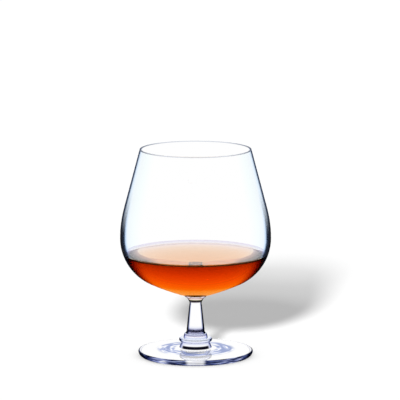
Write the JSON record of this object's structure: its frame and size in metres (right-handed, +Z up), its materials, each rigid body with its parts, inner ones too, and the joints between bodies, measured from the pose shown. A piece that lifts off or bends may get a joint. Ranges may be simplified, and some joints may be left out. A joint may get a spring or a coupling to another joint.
{
  "type": "brandy snifter",
  "caption": "Stemmed balloon glass with a full low belly, narrow mouth, short stem and disc foot, holding a measure of brandy.",
  "frame": {"origin": "centre of the foot's underside, on the surface that the glass stands on", "axes": "+Z up along the axis of the glass, which is round, so +X and +Y are free"},
  "size_m": [0.0922, 0.0922, 0.128],
  "materials": {
    "clear_glass": "fire-polished, clear, with dark blue edges",
    "brandy_liquid": "clear amber drink with a still surface"
  },
  "bodies": {
    "root": {"bowl": "clear_glass", "button": "clear_glass", "stem": "clear_glass", "collar": "clear_glass", "merese": "clear_glass", "foot": "clear_glass", "brandy": "brandy_liquid"}
  },
  "joints": []
}
